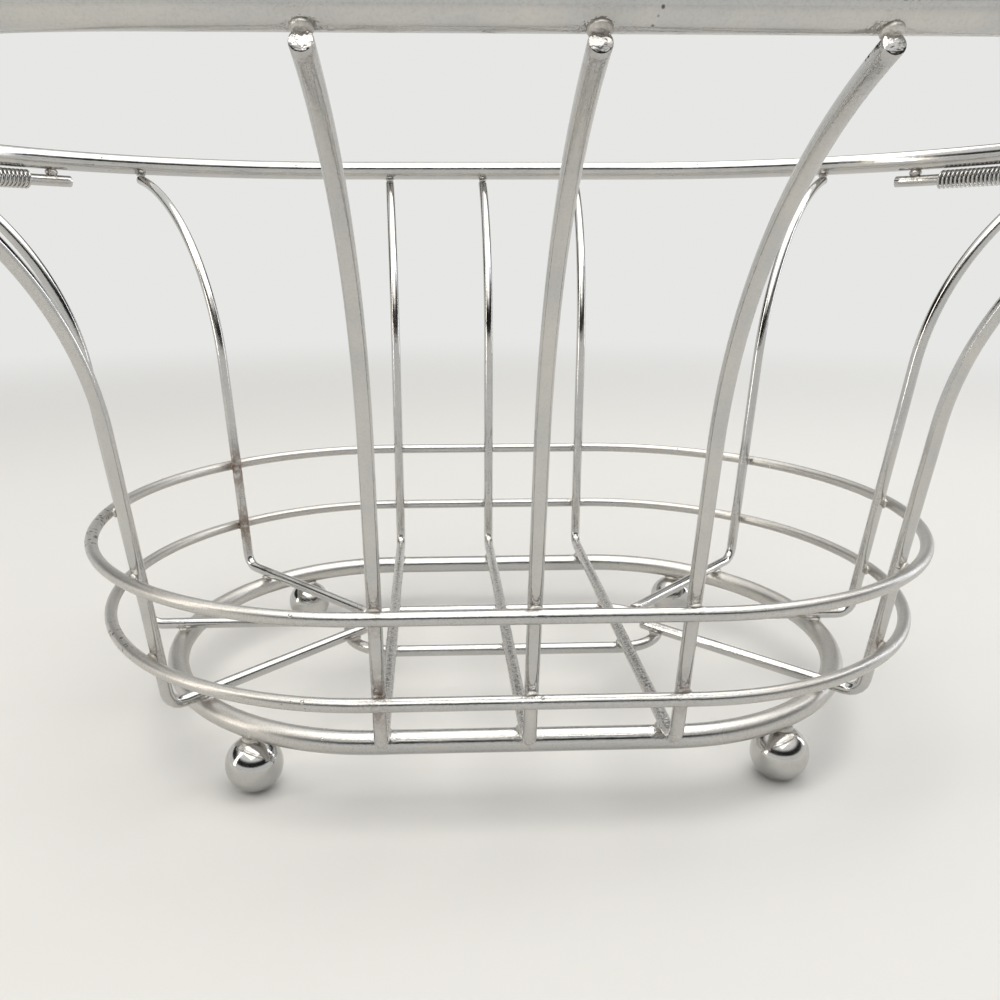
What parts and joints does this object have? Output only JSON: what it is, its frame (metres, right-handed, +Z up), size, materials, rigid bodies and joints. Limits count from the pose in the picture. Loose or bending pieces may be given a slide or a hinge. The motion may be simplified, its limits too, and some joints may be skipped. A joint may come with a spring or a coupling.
{
  "type": "wire fruit basket",
  "caption": "Oval chrome wire fruit basket: flared ribs and hoops on a base ring with ball feet, and a thick rim with a coil-wrapped grip under each end.",
  "frame": {"origin": "on the table, under the middle of the basket", "axes": "+X along the oval, +Y from the front to the back, +Z up"},
  "size_m": [0.396, 0.275, 0.1787],
  "materials": {
    "rim_chrome": "chrome plate on round steel rod, softly bright, with small pits and bumps in the plating",
    "wire_chrome": "chrome plate on drawn steel wire, dulled, scuffed on the floor, brown at some welds",
    "base_chrome": "dulled chrome plate on round steel rod",
    "foot_chrome": "mirror chrome plate on steel balls",
    "coil_steel": "bright plated spring wire"
  },
  "bodies": {
    "root": {"base_ring": "base_chrome", "corner_rib_back_left": "wire_chrome", "corner_rib_back_right": "wire_chrome", "corner_rib_front_left": "wire_chrome", "corner_rib_front_right": "wire_chrome", "cross_wire_left": "wire_chrome", "cross_wire_middle": "wire_chrome", "cross_wire_right": "wire_chrome", "end_rib_left": "wire_chrome", "end_rib_right": "wire_chrome", "foot_back_left": "foot_chrome", "foot_back_right": "foot_chrome", "foot_front_left": "foot_chrome", "foot_front_right": "foot_chrome", "grip_coil_left": "coil_steel", "grip_coil_right": "coil_steel", "grip_rod_left": "rim_chrome", "grip_rod_right": "rim_chrome", "grip_spacer_back_left": "rim_chrome", "grip_spacer_back_right": "rim_chrome", "grip_spacer_front_left": "rim_chrome", "grip_spacer_front_right": "rim_chrome", "inner_ring": "wire_chrome", "lower_hoop": "wire_chrome", "rim": "rim_chrome", "upper_hoop": "wire_chrome"}
  },
  "joints": []
}
